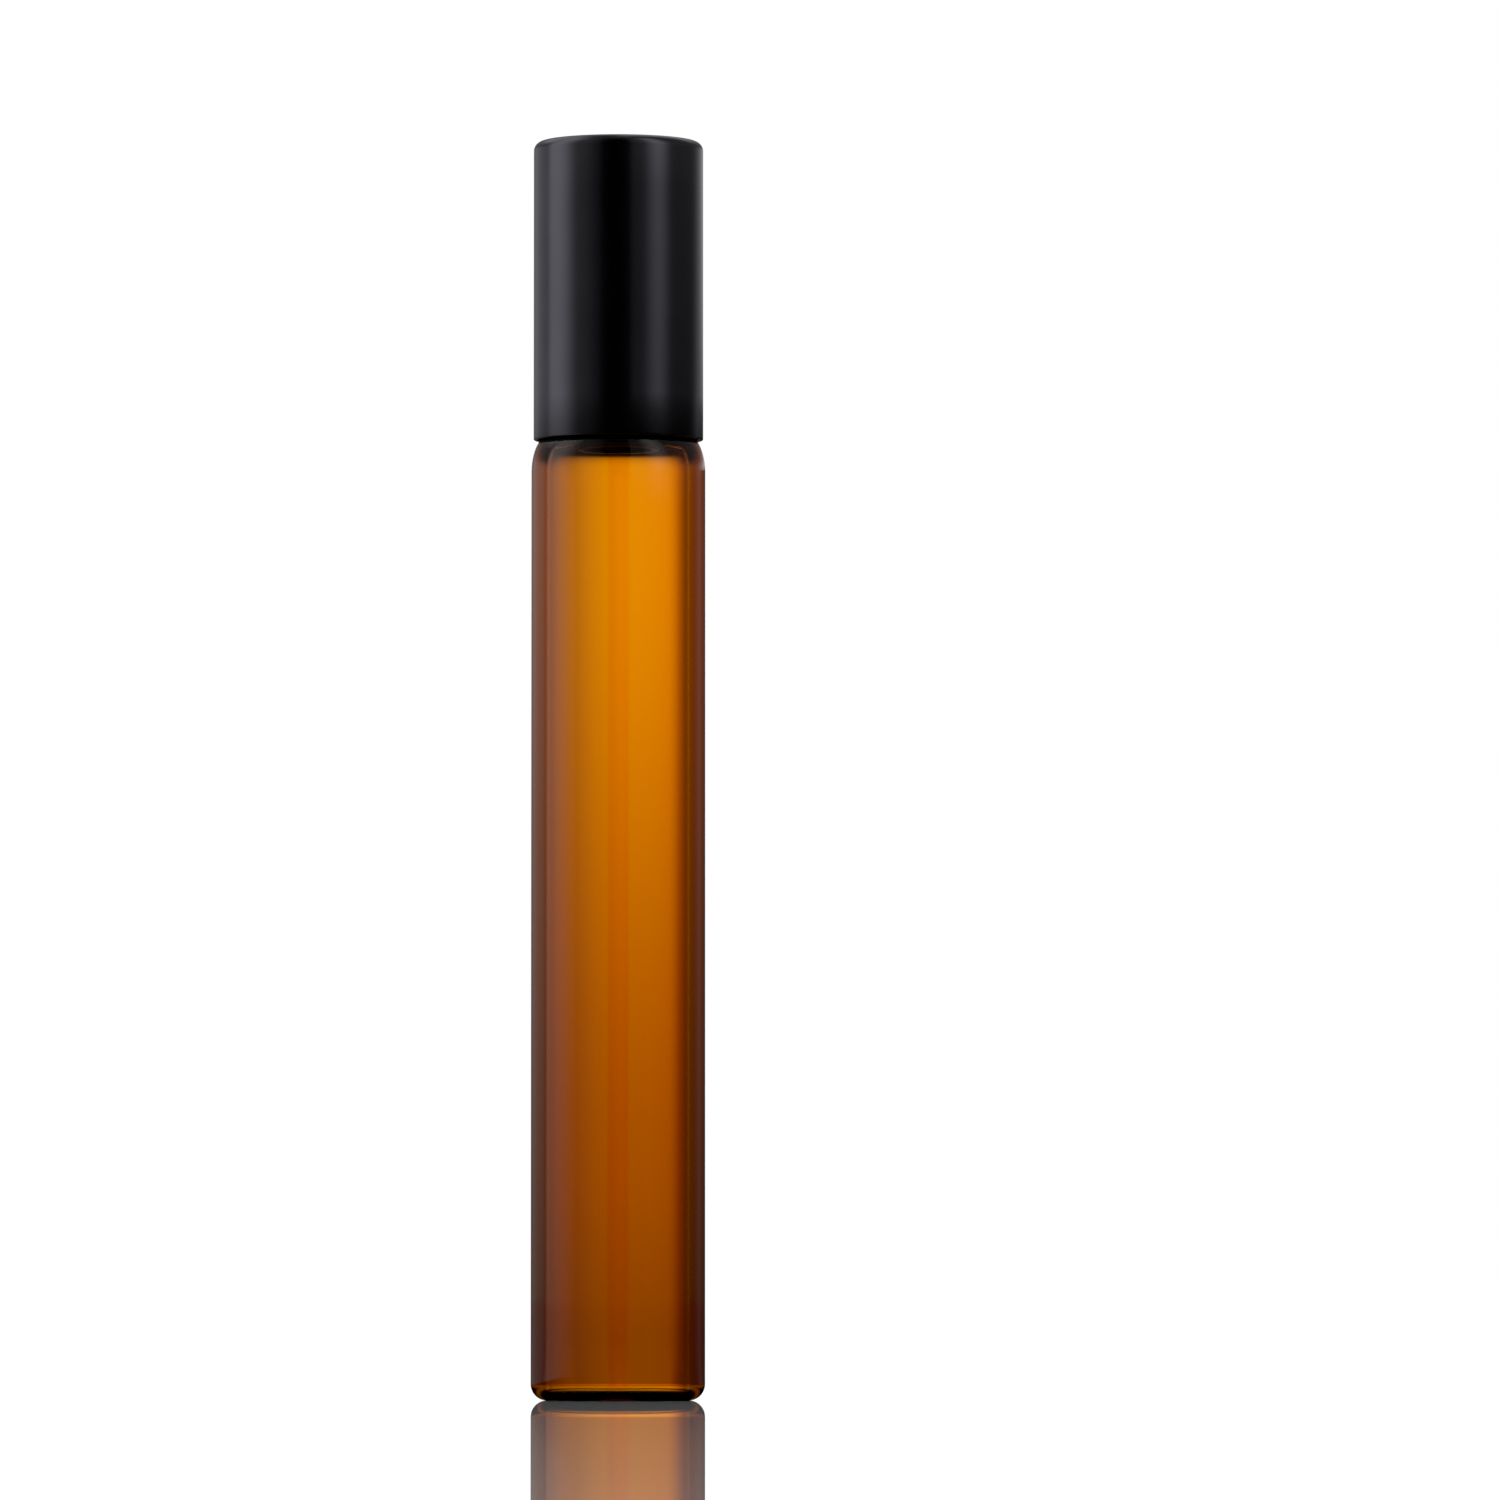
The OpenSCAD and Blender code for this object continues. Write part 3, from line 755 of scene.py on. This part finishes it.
def shell_outline(cap):
    """The shell's section, from the middle of its top down its side and back up inside."""
    r, wall, edge, soft = cap.shell_radius, cap.shell_wall, cap.shell_edge, cap.foot_edge
    top, foot = cap.shell_top, cap.shell_foot
    return [
        (0, top), *arc(r - edge, top - edge, edge, 90, 0, 16),
        *rows(r, top - edge, foot + soft, PLAIN_ROW),
        *arc(r - soft, foot + soft, soft, 0, -90, 5),
        *arc(r - wall + soft, foot + soft, soft, -90, -180, 5),
        *arc(r - edge, top - edge, edge - wall, 0, 90, 10), (0, top - wall),
    ]


class ROLLON_OT_vial(bpy.types.Operator):
    """Make the amber glass vial with its threaded neck"""

    bl_idname = "rollon.vial"
    bl_label = "Glass vial"

    def execute(self, context):
        vial = context.scene.rollon_vial
        finish = amber_glass(vial)
        mesh = turned("glass_vial", vial_outline(vial), segments=256)
        made = piece(mesh, "glass_vial", finish)
        screw_thread(made, vial.neck_radius, vial, vial, 1.0, finish)
        outward(made.data, sharp=80)
        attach(made, "bottle")
        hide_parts("glass_bottle")
        return {"FINISHED"}


class ROLLON_OT_fitment(bpy.types.Operator):
    """Make the black roller fitment, with its plug, sealing beads, cup and collar"""

    bl_idname = "rollon.fitment"
    bl_label = "Roller fitment"

    def execute(self, context):
        fitment, rim = context.scene.rollon_fitment, context.scene.rollon_vial.rim_height
        finish = black_moulding("fitment_plastic", fitment.plastic, roughness=0.22)
        mesh = turned("fitment", fitment_outline(fitment, rim), segments=192, ring=True)
        made = piece(outward(mesh), "fitment", finish)
        reach, half = fitment.slot_reach, fitment.slot_width / 2
        cross = [(reach, -half), (reach, half), (half, half), (half, reach), (-half, reach),
                 (-half, half), (-reach, half), (-reach, -half), (-half, -half),
                 (-half, -reach), (half, -reach), (half, -half)]
        floor = fitment.ball_height - fitment.ball_radius - fitment.ball_gap - fitment.cup_floor
        under, over = 0.5 * MM, 3 * MM  # how far the cutter passes the cup's floor
        cutter = piece(outward(prism(cross, floor - under, floor + over)), "slots", finish)
        cut = made.modifiers.new("slots", "BOOLEAN")
        cut.operation = "DIFFERENCE"
        cut.solver = "EXACT"
        cut.object = cutter
        applied(made)
        bpy.data.objects.remove(cutter)
        outward(made.data)
        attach(made, "bottle")
        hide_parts("roller_housing")
        return {"FINISHED"}


class ROLLON_OT_ball(bpy.types.Operator):
    """Make the steel ball"""

    bl_idname = "rollon.ball"
    bl_label = "Steel ball"

    def execute(self, context):
        fitment = context.scene.rollon_fitment
        outline = arc(0, fitment.ball_height, fitment.ball_radius, -90, 90, 96)
        outline[0] = (0, outline[0][1])
        outline[-1] = (0, outline[-1][1])
        mesh = turned("ball", outline, segments=160)
        made = piece(outward(mesh), "ball", polished_steel(fitment))
        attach(made, "ball")
        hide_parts("roller_ball")
        return {"FINISHED"}


class ROLLON_OT_disc(bpy.types.Operator):
    """Make the foam disc that seals on the ball"""

    bl_idname = "rollon.disc"
    bl_label = "Seal disc"

    def execute(self, context):
        fitment = context.scene.rollon_fitment
        dish = fitment.ball_radius + fitment.seal_gap
        low, high, r = fitment.disc_foot, fitment.disc_top, fitment.disc_radius
        soft = fitment.disc_edge
        meets = math.degrees(math.asin((low - fitment.ball_height) / dish))
        outline = [
            (0, fitment.ball_height + dish),
            *arc(0, fitment.ball_height, dish, 89, meets, 20),
            *arc(r - soft, low + soft, soft, -90, 0, 4),
            *arc(r - soft, high - soft, soft, 0, 90, 4), (0, high),
        ]
        mesh = turned("seal_foam", outline, segments=128)
        made = piece(outward(mesh), "seal_foam", disc_foam(fitment))
        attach(made, "seal")
        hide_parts("seal_disc")
        return {"FINISHED"}


class ROLLON_OT_inner_cap(bpy.types.Operator):
    """Make the threaded inner cap with its pocket, web and ribs"""

    bl_idname = "rollon.inner_cap"
    bl_label = "Inner cap"

    def execute(self, context):
        cap, fitment = context.scene.rollon_cap, context.scene.rollon_fitment
        vial = context.scene.rollon_vial
        finish = black_moulding("inner_cap_plastic", cap.plastic, roughness=0.34)
        mesh = turned("inner_cap", inner_cap_outline(cap, fitment), segments=224)
        made = piece(mesh, "inner_cap", finish)
        screw_thread(made, cap.liner_bore, cap, vial, -1.0, finish)
        bite, half = cap.rib_bite, cap.web_rib_angle / 2
        web = fitment.disc_top + cap.pocket_gap + cap.web
        inner, outer = cap.hub_radius - bite, cap.liner_radius - cap.liner_wall + bite
        wedge = [(r * math.cos(a), r * math.sin(a)) for r, a in (
            (inner, -half), (outer, -half), (outer, half), (inner, half))]
        rod = [(cap.liner_radius + cap.grip_rib * math.cos(a), cap.grip_rib * math.sin(a))
               for a in (FULL_TURN * i / 16 for i in range(16))]
        group, sockets = ring_rule()
        for outline, low, count in (
            (wedge, web - bite, cap.web_ribs), (rod, cap.liner_foot, cap.grip_ribs)):
            rib = piece(prism(outline, low, cap.liner_top), "rib", finish)
            follow_rule(rib, group, sockets, {"Count": count, "Material": finish})
            outward(rib.data)
            join_into(made, rib)
        outward(made.data)
        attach(made, "cap")
        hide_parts("cap_liner")
        return {"FINISHED"}


class ROLLON_OT_shell(bpy.types.Operator):
    """Make the tall black metal shell of the cap"""

    bl_idname = "rollon.shell"
    bl_label = "Cap shell"

    def execute(self, context):
        cap = context.scene.rollon_cap
        mesh = turned("shell", shell_outline(cap), segments=256)
        made = piece(outward(mesh), "shell", satin_shell(cap))
        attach(made, "cap")
        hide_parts("cap_shell")
        return {"FINISHED"}


def lane(tree, x, y, inside, shade):
    """Upright panels as glass shows them, one a quarter turn: their brightness and warmth.

    The panels are bright, with dim gaps between them. Where inside is 1, the light was
    mirrored inside the glass's own wall and is even. The shade is the depth of a gap's left
    part. Angles are in degrees from a panel's middle.
    """
    turn = x.sum("ARCTAN2", y) * DEGREES + QUARTER / 2
    right = turn.sum("FLOORED_MODULO", QUARTER) - QUARTER / 2
    left = right * -1
    fall = (tree.smooth(left, -1, 9) * 0.62 + tree.smooth(left, 5, 28) * 0.38) * shade
    stripe = tree.band(right, -1.7, 0.3, 0.15)
    level = (1 - 0.8 * (tree.smooth(right, 3.5, 22) + fall)) * (1 - 0.04 * stripe)
    warmth = 0.25 * stripe + 0.4 * tree.smooth(right, 9, 14)
    return level + (IN_WALL - level) * inside, warmth


def panels(tree, x, y, up):
    """The studio as polished surfaces show it, by direction: x, y, and degrees upward.

    At each side there are a box beside the bottle, a wall behind it and a spill before it.
    Left and right are degrees from the camera's side of the bottle.
    """
    left = (x * -1).sum("ARCTAN2", y * -1) * DEGREES
    right = left * -1
    height = tree.smooth(up, -3, 6)
    left_box = tree.smooth(left, 48, 90) * (1 - tree.smooth(left, 102, 118)) * 0.92
    behind = 1 - 0.5 * tree.smooth(up, 6, 12) + 1.4 * tree.smooth(up, 20, 36)
    left_wall = tree.smooth(left, 95, 120) * (1 - 0.45 * tree.smooth(left, 148, 160)) * 0.43
    left_spill = (0.03 + 0.07 * tree.smooth(left, 24, 50)) * (1 + 0.8 * tree.smooth(up, 3.8, 6))
    left_side = left_box.sum("MAXIMUM", left_wall * behind)
    left_side = left_side.sum("MAXIMUM", left_spill * (left > 23))
    left_side = left_side * (0.25 + 0.75 * height) * (1 - tree.smooth(up, 55, 75))
    right_box = tree.band(right, 43, 70, 15) * tree.band(up, 5.1, 65, 1.4) * 0.8
    high = tree.smooth(up, 4.4, 5)
    dim = 0.85 * tree.smooth(right, 134, 150) * (1 - high)
    edge = high * (1 - tree.smooth(up, 6, 9))
    right_wall = tree.smooth(right, 110, 160) * (1 - dim)
    right_wall = right_wall * (0.08 + 0.3 * height + 0.24 * edge) * behind
    right_spill = (right > 18) * tree.smooth(up, 3.8, 6) * 0.13
    right_side = right_box.sum("MAXIMUM", right_wall).sum("MAXIMUM", right_spill)
    over = tree.smooth(up, 48, 75) * 0.1
    return left_side.sum("MAXIMUM", right_side).sum("MAXIMUM", over)


def studio_world():
    """White to the camera, the floor and matt things, and panels to glass and metal."""
    world = bpy.data.worlds.new("studio")
    world.use_nodes = True
    world.cycles.sampling_method = "NONE"
    bpy.context.scene.world = world
    tree = Tree(world.node_tree)
    way = tree.node("ShaderNodeVectorMath", {"operation": "NORMALIZE"}, {
        0: tree.node("ShaderNodeTexCoord")["Generated"]})["Vector"]
    parts = tree.node("ShaderNodeSeparateXYZ", None, {"Vector": way})
    up = parts["Z"].sum("ARCSINE") * DEGREES
    shine = panels(tree, parts["X"], parts["Y"], up)
    rise = 0.3 + 0.15 * tree.smooth(up, -0.6, 0.6) + 0.55 * tree.smooth(up, 0.1, 4.1)
    light = tree.node("ShaderNodeLightPath")
    seen, passed = light["Is Camera Ray"], light["Is Transmission Ray"]
    inside = light["Transmission Depth"] < BOTH_WALLS
    shade = 0.74 + 0.26 * tree.smooth(up, -1, 4.5)
    bright, warmth = lane(tree, parts["X"], parts["Y"], inside, shade)
    through = rise * (1 - 0.97 * tree.smooth(up, 4, 12.5)) * bright
    glossy = light["Is Glossy Ray"] * (1 - light["Is Singular Ray"]) * (1 - passed)
    strength = BACKDROP + (shine - BACKDROP) * glossy + (through - BACKDROP) * passed
    strength = strength * (1 - seen) + seen
    mirrored = light["Glossy Depth"] > 0.5
    cool = 0.36 + 0.64 * tree.smooth(up, 0.16, 4).sum("MAXIMUM", mirrored)
    cool = cool - warmth + 3 * (1 - passed)
    studio = tree.node("ShaderNodeBackground", None, {
        "Color": tree.blend(cool, WARM, WHITE), "Strength": strength})
    tree.node("ShaderNodeOutputWorld", None, {"Surface": studio["Background"]})


def floor_gloss_and_painted_light(stage):
    """White acrylic: pale and very glossy. To glass and metal it shows a painted reflection of
    the panels, and to rays through the glass it gives off a painted glow, warm at grazing
    views, though it is no lamp.

    The painted glow fades out under the bottle's foot as a painted shadow, and the painted
    reflection shows only well clear of it.
    """
    made, tree, place = material("floor_gloss_and_painted_light")
    parts = tree.node("ShaderNodeSeparateXYZ", None, {"Vector": place})
    away = tree.node("ShaderNodeVectorMath", {"operation": "LENGTH"}, {0: place})["Value"]
    cloud = tree.noise(place, 8, 2)
    tint = tree.blend(cloud, [c * 0.99 for c in stage.floor], stage.floor)
    plain = tree.node("ShaderNodeBsdfPrincipled", None, {
        "Base Color": tint, "Roughness": 0.0, "IOR": 1.5})
    light = tree.node("ShaderNodeLightPath")
    passed = light["Is Transmission Ray"]
    # Painted glow: the floor gives off light of its own to rays that come through the glass, set
    # by how steeply they meet it.
    facing = tree.node("ShaderNodeLayerWeight", None, {"Blend": 0.5})["Facing"]
    grazing = tree.smooth(facing, 0.935, 0.975)
    steep = 0.1 + 0.5 * (1 - tree.smooth(facing, 0.78, 0.93))
    steep = steep * (1 - 0.9 * (light["Glossy Depth"] > 0.5))
    inside = light["Transmission Depth"] < BOTH_WALLS
    bright, warmth = lane(tree, parts["X"], parts["Y"], inside, shade=0.75)
    low = (0.3 + 0.035 * tree.smooth(away, 0.3, 3)) * bright
    # Painted shadow: the painted glow is nothing within 4 mm of the bottle's axis and rises to
    # full by 40 mm.
    level = (low * grazing + steep * (1 - grazing)) * tree.smooth(away, 4 * MM, 40 * MM)
    # Painted warm tint of that glow, strongest where the view grazes the floor.
    warm = tree.blend(1 - (0.64 + warmth) * grazing, WARM, WHITE)
    glow = tree.node("ShaderNodeEmission", None, {"Color": tree.blend(level, BLACK, warm)})
    # Painted reflection: glass and metal see the studio's panels painted into the floor as its own
    # light, dark within 48 mm of the bottle's axis as painted shade and full from 60 mm.
    mirrored = panels(tree, parts["X"], parts["Y"], tree.value(1.0)) * 0.62
    mirrored = mirrored * tree.smooth(away, 48 * MM, 60 * MM)
    shine = tree.node("ShaderNodeEmission", None, {
        "Color": tree.blend(mirrored, BLACK, WHITE)})
    # Glossy rays from glass and metal get the painted reflection, rays through the glass get the
    # painted glow, and the camera sees the plain glossy floor.
    polished = light["Is Glossy Ray"] * (1 - passed)
    shown = tree.node("ShaderNodeMixShader", None, {
        0: polished, 1: plain["BSDF"], 2: shine["Emission"]})
    mixed = tree.node("ShaderNodeMixShader", None, {
        0: passed, 1: shown["Shader"], 2: glow["Emission"]})
    tree.node("ShaderNodeOutputMaterial", None, {"Surface": mixed["Shader"]})
    return made


class ROLLON_OT_stage(bpy.types.Operator):
    """Make the glossy floor with its painted glow and painted reflection, the studio light and the
    camera
    """

    bl_idname = "rollon.stage"
    bl_label = "Stage"

    def execute(self, context):
        stage = context.scene.rollon_stage
        half = stage.floor_size / 2
        mesh = bpy.data.meshes.new("floor")
        corners = [(-half, -half, 0), (half, -half, 0), (half, half, 0), (-half, half, 0)]
        mesh.from_pydata(corners, [], [(0, 1, 2, 3)])
        piece(mesh, "floor", floor_gloss_and_painted_light(stage))
        studio_world()
        lens = bpy.data.cameras.new("camera")
        lens.sensor_width = 36
        lift = stage.frame_height - stage.camera_height
        away = math.hypot(lift, stage.camera_distance)
        lens.lens = lens.sensor_width * away / stage.frame_width
        lens.clip_start, lens.clip_end = 0.01, 20
        camera = bpy.data.objects.new("camera", lens)
        context.scene.collection.objects.link(camera)
        camera.location = (stage.frame_right, -stage.camera_distance, stage.camera_height)
        rise = math.atan2(lift, stage.camera_distance)
        camera.rotation_euler = (math.pi / 2 + rise, 0, 0)
        context.scene.camera = camera
        context.scene.view_settings.view_transform = "Standard"
        return {"FINISHED"}


class ROLLON_PT_panel(bpy.types.Panel):
    """Lists the pieces of the bottle and their sizes"""

    bl_label = "Roll-on bottle"
    bl_idname = "ROLLON_PT_panel"
    bl_space_type = "VIEW_3D"
    bl_region_type = "UI"
    bl_category = "Roll-on bottle"

    def draw(self, context):
        for title, operators, settings in PARTS:
            box = self.layout.box()
            box.label(text=title)
            for operator in operators:
                box.operator(operator.bl_idname)
            group = getattr(context.scene, settings)
            for name in group.__annotations__:
                box.prop(group, name)


PARTS = (
    ("Vial", (ROLLON_OT_vial,), "rollon_vial"),
    ("Fitment", (ROLLON_OT_fitment, ROLLON_OT_ball, ROLLON_OT_disc), "rollon_fitment"),
    ("Cap", (ROLLON_OT_inner_cap, ROLLON_OT_shell), "rollon_cap"),
    ("Stage", (ROLLON_OT_stage,), "rollon_stage"),
)
SETTINGS = {
    "rollon_vial": VialSettings,
    "rollon_fitment": FitmentSettings,
    "rollon_cap": CapSettings,
    "rollon_stage": StageSettings,
}
CLASSES = (
    *SETTINGS.values(), ROLLON_OT_vial, ROLLON_OT_fitment, ROLLON_OT_ball, ROLLON_OT_disc,
    ROLLON_OT_inner_cap, ROLLON_OT_shell, ROLLON_OT_stage, ROLLON_PT_panel,
)


def register():
    """Registers the classes, and puts their settings on the scene."""
    for each in CLASSES:
        bpy.utils.register_class(each)
    for name, group in SETTINGS.items():
        setattr(bpy.types.Scene, name, PointerProperty(type=group))


def unregister():
    """Takes the settings off the scene, and unregisters the classes."""
    for name in SETTINGS:
        delattr(bpy.types.Scene, name)
    for each in reversed(CLASSES):
        bpy.utils.unregister_class(each)


def main():
    register()
    bpy.ops.rollon.stage()
    bpy.ops.rollon.vial()
    bpy.ops.rollon.fitment()
    bpy.ops.rollon.ball()
    bpy.ops.rollon.disc()
    bpy.ops.rollon.inner_cap()
    bpy.ops.rollon.shell()


if __name__ == "__main__":
    main()
